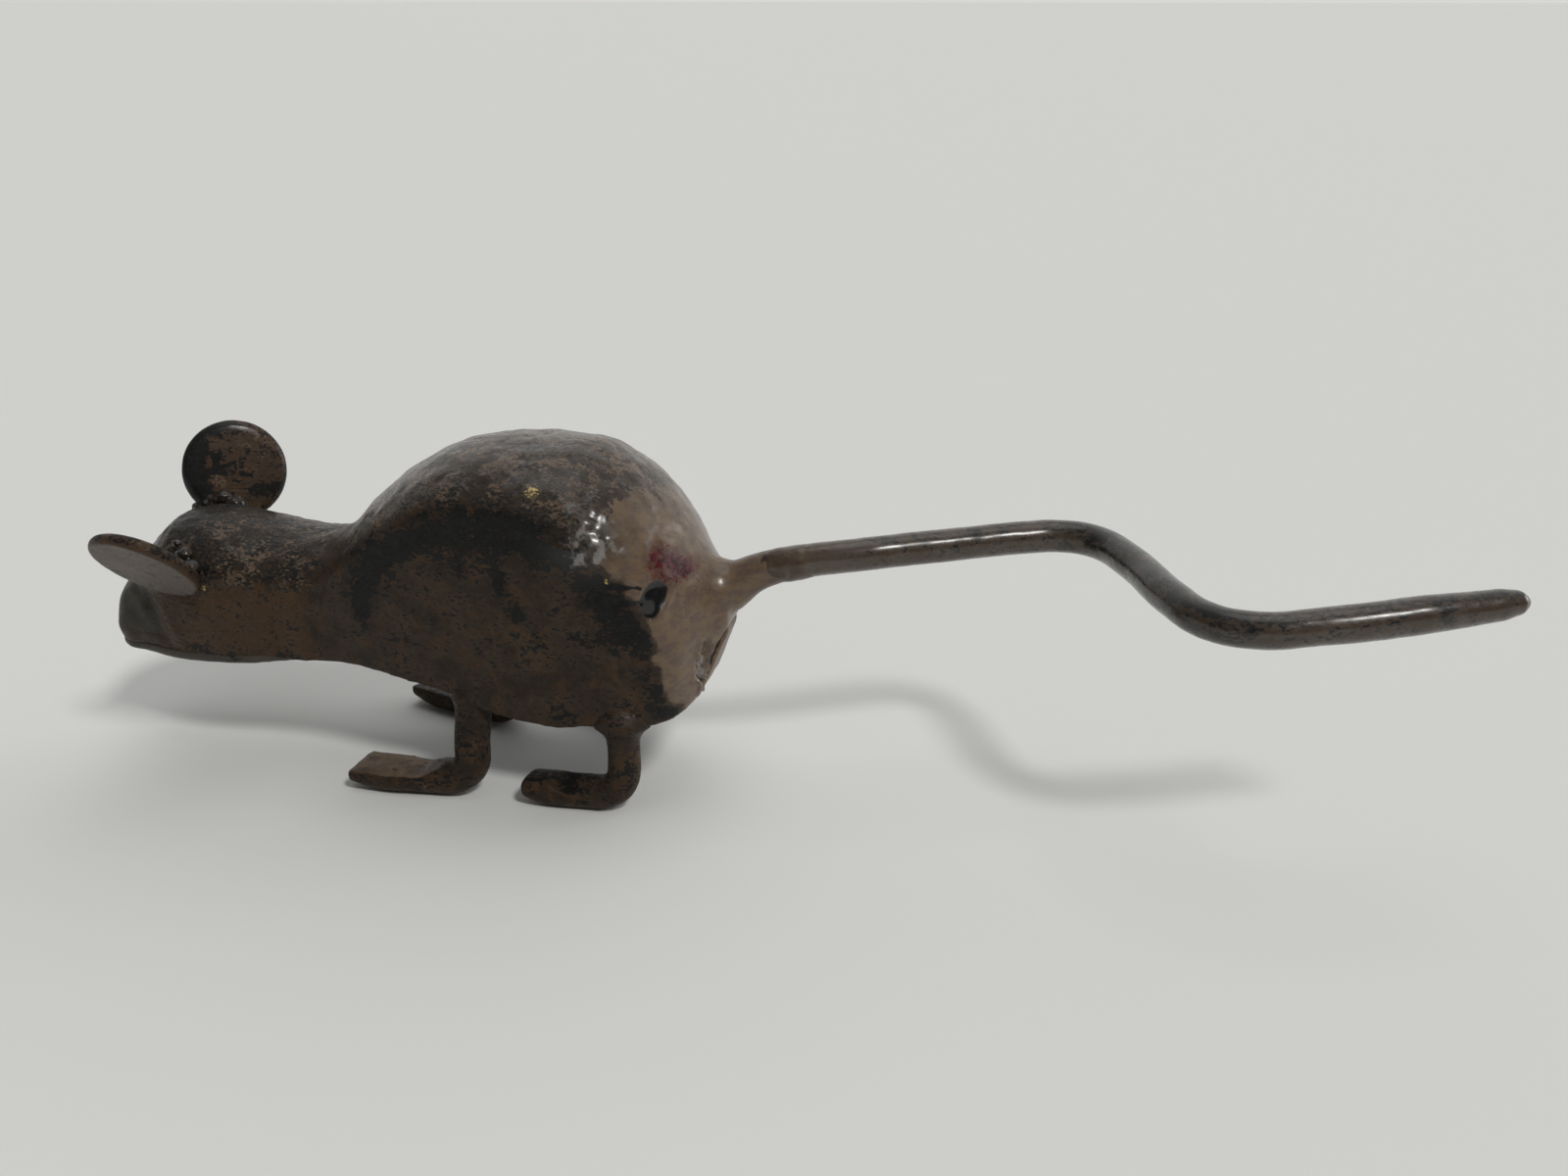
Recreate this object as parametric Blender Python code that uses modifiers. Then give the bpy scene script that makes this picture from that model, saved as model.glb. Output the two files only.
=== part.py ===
"""Hand-made metal mouse: two hammered body shells closed by a belly plate, four bent rod legs with
beaten feet, two ear discs and a bent rod tail, each welded on. Metres, +Z up, nose at -X, left side at -Y.
"""
import bmesh
import bpy
import math
from mathutils import Matrix, Vector
import numpy as np

MM = 0.001

# The frame's origin is on the ground under the middle of the whole object, in these dimensions' frame.
ORIGIN_X, ORIGIN_Y = 1.235, -0.165

# ---- driving dimensions, in millimetres ----
GAP = 0.3                 # clearance between neighbouring solids
WELD_HEIGHT = 1.2         # how far a leg's weld runs down the rod
WALL = 1.2                # sheet thickness of the body shells
PLATE = 1.0               # belly plate thickness
NOSE_X = -71.6
RUMP_X = -0.6
ROD_R = 1.75              # tail and rear leg rod
FRONT_ROD_R = 1.9         # front leg rod
EAR_THICK = 1.4
FLANK_STEPS = 5
DOME_STEPS = 8
RING = 14                 # sides of a leg rod

# Body stations from nose to rump: x, lower edge z, top z, shoulder z, half width at the shoulder,
# half width at the lower edge.
STATIONS = (
    (-71.6, 12.4, 17.4, 14.8, 3.4, 3.1),
    (-71.0, 11.9, 18.9, 15.4, 4.5, 4.2),
    (-69.6, 11.6, 20.5, 16.2, 5.2, 4.9),
    (-67.6, 11.6, 23.1, 17.8, 5.5, 5.2),
    (-65.6, 11.6, 25.2, 19.6, 6.0, 5.7),
    (-63.4, 11.6, 26.9, 21.4, 7.2, 6.3),
    (-60.0, 11.7, 27.4, 22.2, 7.9, 6.7),
    (-55.0, 12.0, 26.7, 22.0, 7.9, 6.9),
    (-49.0, 12.8, 25.9, 21.6, 7.6, 6.9),
    (-45.0, 13.1, 26.2, 21.8, 7.6, 6.9),
    (-42.0, 13.2, 27.9, 23.4, 8.2, 7.2),
    (-39.0, 13.0, 31.1, 26.0, 9.0, 7.6),
    (-33.5, 12.2, 35.2, 29.6, 10.3, 8.3),
    (-28.0, 11.3, 37.4, 31.9, 10.9, 8.9),
    (-22.0, 10.4, 38.0, 32.3, 11.2, 9.4),
    (-16.0, 10.0, 37.9, 30.3, 11.2, 9.6),
    (-11.5, 10.0, 35.9, 28.0, 10.9, 9.4),
    (-8.5, 10.2, 33.4, 25.2, 10.4, 8.9),
    (-6.2, 10.4, 30.6, 21.8, 9.6, 7.6),
    (-4.8, 11.0, 28.2, 19.8, 8.4, 5.6),
    (-3.8, 12.2, 26.8, 19.6, 6.9, 4.2),
    (-2.8, 14.4, 26.1, 20.2, 5.1, 3.5),
    (-1.6, 17.4, 25.9, 21.4, 3.5, 2.7),
    (-0.6, 19.8, 25.8, 22.8, 2.7, 2.3),
)

# Tail route from its root to its tip: x, y, z, radius.
TAIL = (
    (0.9, 0.0, 24.6, 1.72),
    (2.4, 0.0, 25.3, 1.72),
    (5.4, 0.1, 26.2, 1.72),
    (12.2, 1.4, 27.2, 1.72),
    (19.8, 5.0, 27.45, 1.72),
    (27.5, 8.7, 27.6, 1.72),
    (32.2, 9.9, 27.75, 1.72),
    (35.4, 8.9, 27.7, 1.72),
    (39.1, 3.8, 27.5, 1.75),
    (42.8, -4.3, 27.3, 1.78),
    (45.9, -8.8, 27.1, 1.78),
    (50.0, -10.6, 27.25, 1.74),
    (56.0, -9.9, 27.9, 1.76),
    (64.3, -7.4, 28.7, 1.8),
    (71.4, -4.6, 29.2, 1.5),
    (73.1, -4.0, 29.35, 1.15),
    (73.9, -3.7, 29.4, 0.5),
)

# Legs: name, heel x and y, outward lean of the rod over its height, rod radius, foot length,
# splay of the foot in degrees, toe half width.
LEGS = (
    ("front_left_leg", -27.7, -8.2, 0.0, FRONT_ROD_R, 15.7, 0.0, 2.4),
    ("front_right_leg", -29.6, 8.2, 0.0, FRONT_ROD_R, 17.0, 19.0, 2.4),
    ("rear_left_leg", -10.9, -7.9, 0.0, ROD_R, 13.2, 0.0, 2.1),
    ("rear_right_leg", -16.4, 10.4, 2.2, ROD_R, 13.2, 26.0, 2.1),
)
FOOT_Z = 1.45             # height of the foot's centreline
SOLE_TRIM = 0.08          # underside points lower than this are filed flat to the ground
HEEL_BEND = 3.0           # centreline radius of the bend at the heel

# Ears: name, centre, outward face normal, radius.
EARS = (
    ("left_ear", (-60.5, -12.6, 25.2), (-0.04, -0.72, -0.69), 5.85),
    ("right_ear", (-62.9, 9.3, 28.85), (0.52, -0.81, 0.27), 5.75),
)

PAINTS = {
    "body_paint": ((0.085, 0.062, 0.048, 1.0), 0.42),
    "belly_paint": ((0.07, 0.058, 0.05, 1.0), 0.5),
    "leg_paint": ((0.06, 0.042, 0.034, 1.0), 0.45),
    "tail_paint": ((0.075, 0.056, 0.048, 1.0), 0.38),
    "ear_paint": ((0.062, 0.045, 0.04, 1.0), 0.4),
    "weld_paint": ((0.09, 0.068, 0.05, 1.0), 0.4),
}


def clear_scene():
    for obj in list(bpy.data.objects):
        bpy.data.objects.remove(obj, do_unlink=True)


def make_paint(name):
    color, roughness = PAINTS[name]
    material = bpy.data.materials.new(name)
    material.use_nodes = True
    shader = material.node_tree.nodes["Principled BSDF"]
    shader.inputs["Base Color"].default_value = color
    shader.inputs["Roughness"].default_value = roughness
    shader.inputs["Metallic"].default_value = 0.15
    return material


def add_object(name, data, paint):
    data.materials.append(paint)
    obj = bpy.data.objects.new(name, data)
    parts.objects.link(obj)
    return obj


def mesh_object(name, bm, paint, smooth_angle=35):
    bmesh.ops.recalc_face_normals(bm, faces=bm.faces)
    mesh = bpy.data.meshes.new(name)
    bm.to_mesh(mesh)
    bm.free()
    mesh.transform(Matrix.Scale(MM, 4))
    mesh.shade_smooth()
    mesh.set_sharp_from_angle(angle=math.radians(smooth_angle))
    return add_object(name, mesh, paint)


def smooth_row(x):
    """One row of STATIONS at x, on monotone cubics so that flats and peaks don't ripple."""
    rows = np.array(STATIONS)
    xs, values = rows[:, 0], rows[:, 1:]
    steps = np.diff(xs)[:, None]
    slopes = np.diff(values, axis=0) / steps
    same_way = slopes[:-1] * slopes[1:] > 0
    inner = np.where(same_way, 2 * slopes[:-1] * slopes[1:] / np.where(same_way, slopes[:-1] + slopes[1:], 1), 0)
    tangents = np.vstack([slopes[:1], inner, slopes[-1:]])
    i = min(max(int(np.searchsorted(xs, x)) - 1, 0), len(xs) - 2)
    h = xs[i + 1] - xs[i]
    t = min(max((x - xs[i]) / h, 0.0), 1.0)
    return (
        (2 * t**3 - 3 * t**2 + 1) * values[i]
        + (t**3 - 2 * t**2 + t) * h * tangents[i]
        + (3 * t**2 - 2 * t**3) * values[i + 1]
        + (t**3 - t**2) * h * tangents[i + 1]
    )


def body_xs(start, end):
    """The stations' x values and the points halfway between them, fitted between start and end."""
    rows = np.array(STATIONS)[:, 0]
    halfway = (rows[1:] + rows[:-1]) / 2
    xs = np.sort(np.concatenate([rows, halfway]))
    return start + (xs - NOSE_X) / (RUMP_X - NOSE_X) * (end - start)


def half_section(x, side, inset):
    """Outline of one body half at x, from its lower edge up the flank and over the dome to the seam."""
    z_low, z_top, z_shoulder, w_shoulder, w_low = smooth_row(x)
    z_start = z_low + PLATE + GAP
    w_shoulder, w_low, z_top = w_shoulder - inset, w_low - inset, z_top - inset
    points = []
    for i in range(FLANK_STEPS):
        t = i / FLANK_STEPS
        bulge = math.sin(math.pi * t) * 0.35
        points.append((w_low + (w_shoulder - w_low) * t + bulge, z_start + (z_shoulder - z_start) * t))
    for i in range(DOME_STEPS + 1):
        a = 0.5 * math.pi * i / DOME_STEPS
        across = w_shoulder * math.cos(a) ** 1.06
        points.append((max(across, GAP / 2), z_shoulder + (z_top - z_shoulder) * math.sin(a)))
    points[-1] = (GAP / 2, z_top)
    return [Vector((x, side * w, z)) for w, z in points]


def loft_faces(bm, rings, closed):
    """Quads between neighbouring rings of vertices."""
    count = len(rings[0])
    for near, far in zip(rings, rings[1:]):
        for i in range(count if closed else count - 1):
            j = (i + 1) % count
            bm.faces.new((near[i], near[j], far[j], far[i]))


def make_body_shell(name, side):
    """One hammered half: outer and inner skins joined by rims along the seam and above the plate."""
    bm = bmesh.new()
    skins = []
    for inset in (0.0, WALL):
        xs = body_xs(NOSE_X + inset, RUMP_X - inset)
        rings = [[bm.verts.new(p) for p in half_section(x, side, inset)] for x in xs]
        corners = []
        for ring in (rings[0], rings[-1]):
            corners.append(bm.verts.new((ring[0].co.x, side * GAP / 2, ring[0].co.z)))
        loft_faces(bm, rings, closed=False)
        bm.faces.new([*rings[0], corners[0]])
        bm.faces.new([*rings[-1], corners[1]])
        skins.append((rings, corners))
    (outer, outer_corner), (inner, inner_corner) = skins
    for edge in (0, -1):
        for i in range(len(outer) - 1):
            bm.faces.new((outer[i][edge], outer[i + 1][edge], inner[i + 1][edge], inner[i][edge]))
    for end in (0, -1):
        for edge in (0, -1):
            bm.faces.new((outer[end][edge], outer_corner[end], inner_corner[end], inner[end][edge]))
    return mesh_object(name, bm, paints["body_paint"])


def make_belly_plate():
    """The plate that closes the shells from below, following their lower edge."""
    bm = bmesh.new()
    rings = []
    for x in body_xs(NOSE_X + 0.1, RUMP_X - 0.4):
        z_low, _, _, _, w_low = smooth_row(x)
        chamfer = 0.35
        outline = (
            (-w_low + chamfer, z_low), (w_low - chamfer, z_low), (w_low, z_low + chamfer),
            (w_low, z_low + PLATE), (-w_low, z_low + PLATE), (-w_low, z_low + chamfer),
        )
        rings.append([bm.verts.new((x, y, z)) for y, z in outline])
    loft_faces(bm, rings, closed=True)
    bm.faces.new(rings[0])
    bm.faces.new(rings[-1])
    return mesh_object("belly_plate", bm, paints["belly_paint"], smooth_angle=25)


def foot_ring(bm, centre, along, across, half_width, half_height, square):
    """A rounded ring about a path point; square above 1 flattens its top and sole."""
    up = across.cross(along).normalized()
    ring = []
    for i in range(RING):
        a = 2 * math.pi * (i + 0.5) / RING
        c, s = math.cos(a), math.sin(a)
        reach_x = math.copysign(abs(c) ** (1 / square), c) * half_width
        reach_z = math.copysign(abs(s) ** (1 / square), s) * half_height
        ring.append(bm.verts.new(centre + across * reach_x + up * reach_z))
    return ring


def make_leg(name, x, y, lean, radius, length, splay, toe_width):
    """A rod straight down from the belly, bent forward at the heel and beaten flat into a foot."""
    side = math.copysign(1.0, y)
    turn = math.radians(splay) * side
    forward = Vector((-math.cos(turn), math.sin(turn), 0))
    across = Vector((0, 0, 1)).cross(forward).normalized()
    heel = Vector((x, y, 0))
    top = smooth_row(x)[0] - GAP - 0.1
    bm = bmesh.new()
    rings = []

    def ring(along_foot, z, direction, width, height, square):
        centre = heel + forward * along_foot + Vector((0, 0, z))
        rings.append(foot_ring(bm, centre, direction, across, width, height, square))

    ring(0, top, Vector((0, 0, -1)), radius, radius, 1.0)
    ring(0, top - WELD_HEIGHT - GAP, Vector((0, 0, -1)), radius, radius, 1.0)
    for vert in rings[0] + rings[1]:
        vert.co.y -= side * lean
    for i in range(7):
        a = 0.5 * math.pi * i / 6
        direction = forward * math.sin(a) - Vector((0, 0, 1)) * math.cos(a)
        blend = i / 6
        height = radius + (FOOT_Z - radius) * blend
        z = FOOT_Z + HEEL_BEND * (1 - math.sin(a))
        ring(HEEL_BEND * (1 - math.cos(a)), z, direction, radius + 0.1 * blend, height, 1.0 + 0.5 * blend)
    reach = length - radius
    ring(reach * 0.45, FOOT_Z, forward, toe_width, FOOT_Z, 1.7)
    ring(reach * 0.75, FOOT_Z - 0.1, forward, toe_width + 0.15, FOOT_Z - 0.1, 1.8)
    ring(reach * 0.93, FOOT_Z + 0.1, forward, toe_width * 0.85, FOOT_Z - 0.35, 1.8)
    ring(reach, FOOT_Z + 0.25, forward, toe_width * 0.55, FOOT_Z - 0.6, 1.6)
    for vert in bm.verts:
        if vert.co.z < SOLE_TRIM:
            vert.co.z = 0.0
    loft_faces(bm, rings, closed=True)
    bm.faces.new(rings[0])
    bm.faces.new(rings[-1])
    return mesh_object(name, bm, paints["leg_paint"])


def make_leg_weld(name, x, y, radius):
    """A bead of weld round the top of a leg, under the belly plate: a turned concave ring."""
    top = smooth_row(x)[0] - 0.75
    inner = radius + 0.15
    profile = (
        (inner, top - WELD_HEIGHT), (inner, top), (inner + 1.0, top), (inner + 0.5, top - 0.4),
        (inner + 0.25, top - WELD_HEIGHT),
    )
    obj = turned_ring(name, profile)
    obj.location = (x * MM, y * MM, 0)
    return obj


def turned_ring(name, profile):
    """A closed profile of (radius, height) turned about Z."""
    bm = bmesh.new()
    verts = [bm.verts.new((r, 0, z)) for r, z in profile]
    edges = [bm.edges.new((verts[i], verts[(i + 1) % len(verts)])) for i in range(len(verts))]
    bmesh.ops.spin(
        bm, geom=verts + edges, cent=(0, 0, 0), axis=(0, 0, 1), dvec=(0, 0, 0),
        angle=2 * math.pi, steps=20, use_merge=True, use_duplicate=False,
    )
    bmesh.ops.remove_doubles(bm, verts=bm.verts, dist=0.0001)
    return mesh_object(name, bm, paints["weld_paint"])


def make_tail():
    """The tail rod, a round wire with its route bent in the horizontal plane."""
    curve = bpy.data.curves.new("tail_rod", "CURVE")
    curve.dimensions = "3D"
    curve.bevel_depth = MM
    curve.bevel_resolution = 3
    curve.resolution_u = 4
    curve.use_fill_caps = True
    spline = curve.splines.new("BEZIER")
    spline.bezier_points.add(len(TAIL) - 1)
    for point, (x, y, z, radius) in zip(spline.bezier_points, TAIL):
        point.co = (x * MM, y * MM, z * MM)
        point.radius = radius
        point.handle_left_type = point.handle_right_type = "AUTO"
    return add_object("tail_rod", curve, paints["tail_paint"])


def make_tail_weld():
    """The flared collar of weld that joins the tail to the rump."""
    start, aim = Vector(TAIL[0][:3]), Vector(TAIL[1][:3])
    inner = ROD_R + 0.25
    profile = ((inner, 0.5), (inner + 1.0, 0.5), (inner + 0.6, 1.1), (inner + 0.4, 2.0), (inner + 0.25, 3.0))
    obj = turned_ring("tail_weld", profile)
    obj.rotation_euler = (aim - start).to_track_quat("Z", "Y").to_euler()
    obj.location = start * MM
    return obj


def make_ear(name, centre, normal, radius):
    """A disc with rounded rims."""
    bm = bmesh.new()
    bmesh.ops.create_cone(
        bm, cap_ends=True, segments=40, radius1=radius, radius2=radius, depth=EAR_THICK
    )
    obj = mesh_object(name, bm, paints["ear_paint"])
    bevel = obj.modifiers.new("rim", "BEVEL")
    bevel.width = 0.4 * MM
    bevel.segments = 2
    bevel.limit_method = "ANGLE"
    obj.rotation_euler = Vector(normal).to_track_quat("Z", "Y").to_euler()
    obj.location = Vector(centre) * MM
    return obj


clear_scene()
parts = bpy.data.collections.new("hand_made_mouse")
bpy.context.scene.collection.children.link(parts)
paints = {name: make_paint(name) for name in PAINTS}

make_body_shell("left_body_shell", -1)
make_body_shell("right_body_shell", 1)
make_belly_plate()
for leg in LEGS:
    make_leg(*leg)
    name, x, y, lean, radius = leg[:5]
    make_leg_weld(name + "_weld", x, y - math.copysign(lean, y), radius)
make_tail()
make_tail_weld()
for ear in EARS:
    make_ear(*ear)
for part in parts.objects:
    part.location -= Vector((ORIGIN_X * MM, ORIGIN_Y * MM, 0))
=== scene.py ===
"""The looks of a hand-made metal mouse: hammered body halves on a belly plate, forged legs, disc ears and a
bent rod tail, all under thick brown paint that has worn to an older black coat."""

import math

import bmesh
import bpy
from mathutils import Matrix, Vector, noise
import numpy as np


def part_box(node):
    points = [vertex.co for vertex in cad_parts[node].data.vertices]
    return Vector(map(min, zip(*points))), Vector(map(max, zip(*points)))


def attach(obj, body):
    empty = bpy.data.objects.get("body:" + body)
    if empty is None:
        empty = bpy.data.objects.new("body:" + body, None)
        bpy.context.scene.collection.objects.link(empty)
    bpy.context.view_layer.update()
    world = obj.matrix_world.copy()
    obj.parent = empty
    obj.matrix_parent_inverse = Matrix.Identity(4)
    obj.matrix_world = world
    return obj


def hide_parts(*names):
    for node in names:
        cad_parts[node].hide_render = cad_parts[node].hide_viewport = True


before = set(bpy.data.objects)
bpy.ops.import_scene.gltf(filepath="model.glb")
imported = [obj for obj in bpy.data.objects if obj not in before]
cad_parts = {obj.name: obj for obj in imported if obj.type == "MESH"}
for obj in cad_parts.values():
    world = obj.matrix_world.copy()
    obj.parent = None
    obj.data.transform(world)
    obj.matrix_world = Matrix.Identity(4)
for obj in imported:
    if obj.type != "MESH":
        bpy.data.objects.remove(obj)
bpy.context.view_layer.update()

MM = 0.001
LEFT_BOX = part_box("left_body_shell")
RIGHT_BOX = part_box("right_body_shell")
# The shapes below are worked out in the maker's frame, in millimetres: its plane y = 0 is the seam between
# the body halves and its nose is at NOSE_X. SHIFT carries that frame to the CAD's.
NOSE_X = -71.6
SHIFT = Vector((LEFT_BOX[0][0] - NOSE_X * MM, (LEFT_BOX[0][1] + RIGHT_BOX[1][1]) / 2, 0))
TO_FRAME = Matrix.Translation(SHIFT) @ Matrix.Scale(MM, 4)

TAIL_R = 1.72
PLATE = 1.0               # thickness of the belly plate where it shows under the head
PLATE_HEIGHT = 1.3        # how far the plate reaches up into the halves
PLATE_CHAMFER = 0.4       # its filed edge
# Sizes of the quads that the skins are made of.
BODY_GRAIN, BELLY_GRAIN, TAIL_GRAIN, LEG_GRAIN, EAR_GRAIN, BRAZE_GRAIN = 0.3, 0.25, 0.22, 0.2, 0.16, 0.14

# Body stations from nose to rump: x, lower edge z, top z, shoulder z, half width at the shoulder,
# half width at the lower edge.
STATIONS = (
    (-71.6, 12.4, 17.4, 14.8, 3.4, 3.1),
    (-71.0, 11.9, 18.9, 15.4, 4.5, 4.2),
    (-69.6, 11.6, 20.5, 16.2, 5.2, 4.9),
    (-67.6, 11.6, 23.1, 17.8, 5.5, 5.2),
    (-65.6, 11.6, 25.2, 19.6, 6.0, 5.7),
    (-63.4, 11.6, 26.9, 21.4, 7.2, 6.3),
    (-60.0, 11.7, 27.4, 22.2, 7.9, 6.7),
    (-55.0, 12.0, 26.7, 22.0, 7.9, 6.9),
    (-49.0, 12.8, 25.9, 21.6, 7.6, 6.9),
    (-45.0, 13.1, 26.2, 21.8, 7.6, 6.9),
    (-42.0, 13.2, 27.9, 23.4, 8.2, 7.2),
    (-39.0, 13.0, 31.1, 26.0, 9.0, 7.6),
    (-33.5, 12.2, 35.2, 29.6, 10.3, 8.3),
    (-28.0, 11.3, 37.4, 31.9, 10.9, 8.9),
    (-22.0, 10.4, 38.0, 32.3, 11.2, 9.4),
    (-16.0, 10.0, 37.9, 30.3, 11.2, 9.6),
    (-11.5, 10.0, 35.9, 28.0, 10.9, 9.4),
    (-8.5, 10.2, 33.4, 25.2, 10.4, 8.9),
    (-6.2, 10.4, 30.6, 21.8, 9.6, 7.6),
    (-4.8, 11.0, 28.2, 19.8, 8.4, 5.6),
    (-3.8, 12.2, 26.8, 19.6, 6.9, 4.2),
    (-2.8, 14.4, 26.1, 20.2, 5.1, 3.5),
    (-1.6, 17.4, 25.9, 21.4, 3.5, 2.7),
    (-0.6, 19.8, 25.8, 22.8, 2.7, 2.3),
)

# Tail route from its root to its tip: x, y, z, radius.
TAIL = (
    (-1.2, 0.0, 23.2, 1.72),
    (0.9, 0.0, 24.6, 1.72),
    (2.4, 0.0, 25.3, 1.72),
    (5.4, 0.1, 26.2, 1.72),
    (12.2, 1.4, 27.2, 1.72),
    (19.8, 5.0, 27.45, 1.72),
    (27.5, 8.7, 27.6, 1.72),
    (32.2, 9.9, 27.75, 1.72),
    (35.4, 8.9, 27.7, 1.72),
    (39.1, 3.8, 27.5, 1.75),
    (42.8, -4.3, 27.3, 1.78),
    (45.9, -8.8, 27.1, 1.78),
    (50.0, -10.6, 27.25, 1.74),
    (56.0, -9.9, 27.9, 1.76),
    (64.3, -7.4, 28.7, 1.8),
    (71.4, -4.6, 29.2, 1.5),
    (73.1, -4.0, 29.35, 1.15),
    (73.9, -3.7, 29.4, 0.5),
)

# Legs: name, heel x and y, outward lean, rod radius, foot length, splay in degrees, toe half width, height of
# the filed top of the foot, its tilt in degrees towards the outside, and the slant of the toe's end.
LEGS = (
    ("front_left_leg", -27.7, -8.3, 0.9, 1.9, 15.5, 0.0, 2.5, 2.45, 4.0, 0.25),
    ("front_right_leg", -29.6, 8.2, 0.0, 1.9, 16.8, 19.0, 2.4, 2.3, 5.0, 0.2),
    ("rear_left_leg", -10.9, -7.9, 0.0, 1.75, 12.7, 0.0, 2.05, 3.1, 16.0, 0.3),
    ("rear_right_leg", -16.4, 10.4, 2.2, 1.75, 12.9, 26.0, 2.1, 2.8, 8.0, 0.2),
)
HEEL_BEND = 3.0

# Ears: name, centre, outward face normal, radius, and the lumps of the braze that holds it (x, y, z, size).
EARS = (
    (
        "left_ear", (-60.5, -12.6, 25.2), (-0.10, -0.725, -0.67), 5.85,
        (
            (-60.6, -6.7, 25.5, 0.5), (-59.4, -7.4, 24.8, 0.85),
            (-58.3, -8.3, 23.6, 1.0), (-57.6, -8.9, 22.3, 0.85),
        ),
    ),
    (
        "right_ear", (-62.9, 9.3, 28.85), (0.52, -0.81, 0.27), 5.75,
        (
            (-66.1, 6.4, 25.0, 0.9), (-64.8, 6.7, 26.0, 1.05),
            (-63.4, 6.9, 26.4, 1.0), (-61.9, 7.0, 25.6, 1.0),
        ),
    ),
)


# ---------------------------------------------------------------- numbers and noise

def smoothstep(low, high, value):
    t = min(max((value - low) / (high - low), 0.0), 1.0)
    return t * t * (3 - 2 * t)


def blob(p, centre, size):
    """1 at a centre, falling off smoothly to 0 about two sizes away."""
    d = sum(((a - b) / s) ** 2 for a, b, s in zip(p, centre, size))
    return math.exp(-d)


def grain(p, scale, seed=0.0):
    """Smooth noise between -1 and 1 whose lumps are about scale millimetres across."""
    return noise.noise(Vector((p[0] / scale + seed, p[1] / scale - seed, p[2] / scale + 2 * seed)))


def smooth_row(x):
    """One row of STATIONS at x, on monotone cubics so that flats and peaks don't ripple."""
    rows = np.array(STATIONS)
    xs, values = rows[:, 0], rows[:, 1:]
    steps = np.diff(xs)[:, None]
    slopes = np.diff(values, axis=0) / steps
    same_way = slopes[:-1] * slopes[1:] > 0
    total = np.where(same_way, slopes[:-1] + slopes[1:], 1)
    inner = np.where(same_way, 2 * slopes[:-1] * slopes[1:] / total, 0)
    tangents = np.vstack([slopes[:1], inner, slopes[-1:]])
    i = min(max(int(np.searchsorted(xs, x)) - 1, 0), len(xs) - 2)
    h = xs[i + 1] - xs[i]
    t = min(max((x - xs[i]) / h, 0.0), 1.0)
    return (
        (2 * t**3 - 3 * t**2 + 1) * values[i]
        + (t**3 - 2 * t**2 + t) * h * tangents[i]
        + (3 * t**2 - 2 * t**3) * values[i + 1]
        + (t**3 - t**2) * h * tangents[i + 1]
    )


ROW_XS = np.linspace(NOSE_X, STATIONS[-1][0], 400)
ROWS = np.array([smooth_row(x) for x in ROW_XS])


def row_at(x):
    return [float(np.interp(x, ROW_XS, ROWS[:, k])) for k in range(5)]


# ---------------------------------------------------------------- modelling helpers

def loft(outlines):
    """A closed skin: a disc with its rim moved to the first outline, extruded through all the others."""
    bm = bmesh.new()
    made = bmesh.ops.create_circle(bm, cap_ends=True, segments=len(outlines[0]), radius=1)
    ring = made["verts"]
    for vert, place in zip(ring, outlines[0]):
        vert.co = place
    for outline in outlines[1:]:
        ring_set = set(ring)
        edges = [e for e in bm.edges if e.verts[0] in ring_set and e.verts[1] in ring_set]
        grown = bmesh.ops.extrude_edge_only(bm, edges=edges)["geom"]
        new = {item for item in grown if isinstance(item, bmesh.types.BMVert)}
        ring = [next(e.other_vert(v) for e in v.link_edges if e.other_vert(v) in new) for v in ring]
        for vert, place in zip(ring, outline):
            vert.co = place
    bmesh.ops.holes_fill(bm, edges=[e for e in bm.edges if e.is_boundary], sides=0)
    bmesh.ops.recalc_face_normals(bm, faces=bm.faces)
    return bm


def mesh_of(bm, name):
    mesh = bpy.data.meshes.new(name)
    bm.to_mesh(mesh)
    bm.free()
    return mesh


def with_modifiers(mesh, name, *modifiers):
    """A mesh after some modifiers, each given as its type and a dictionary of settings."""
    obj = bpy.data.objects.new(name, mesh)
    bpy.context.scene.collection.objects.link(obj)
    for kind, settings in modifiers:
        modifier = obj.modifiers.new(kind.lower(), kind)
        for key, value in settings.items():
            setattr(modifier, key, value)
    graph = bpy.context.evaluated_depsgraph_get()
    result = bpy.data.meshes.new_from_object(obj.evaluated_get(graph))
    bpy.data.objects.remove(obj)
    return result


def remeshed(bm, name, size):
    """An even skin of quads about size millimetres across, over a solid."""
    settings = {"mode": "VOXEL", "voxel_size": size, "use_smooth_shade": True}
    mesh = with_modifiers(mesh_of(bm, name), name, ("REMESH", settings))
    result = bmesh.new()
    result.from_mesh(mesh)
    return result


def soften(bm, verts, times):
    for _ in range(times):
        bmesh.ops.smooth_vert(bm, verts=verts, factor=0.5, use_axis_x=True, use_axis_y=True, use_axis_z=True)


def emboss(bm, relief):
    """Moves each vertex along its normal by relief(place, normal), in millimetres."""
    bm.normal_update()
    moves = [(vert, vert.normal * relief(vert.co, vert.normal)) for vert in bm.verts]
    for vert, move in moves:
        vert.co += move


def add_piece(name, bm, material, replaced, paint_values):
    """Puts a finished mesh, in the maker's millimetres, into the frame as a piece of the object."""
    mesh = mesh_of(bm, name)
    for key in paint_values[0]:
        layer = mesh.attributes.new(key, "FLOAT", "POINT")
        layer.data.foreach_set("value", [row[key] for row in paint_values])
    mesh.transform(TO_FRAME)
    mesh.shade_smooth()
    mesh.materials.append(material)
    piece = bpy.data.objects.new(name, mesh)
    bpy.context.scene.collection.objects.link(piece)
    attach(piece, "root")
    if replaced:
        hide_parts(*replaced)


# ---------------------------------------------------------------- shader helpers

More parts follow.
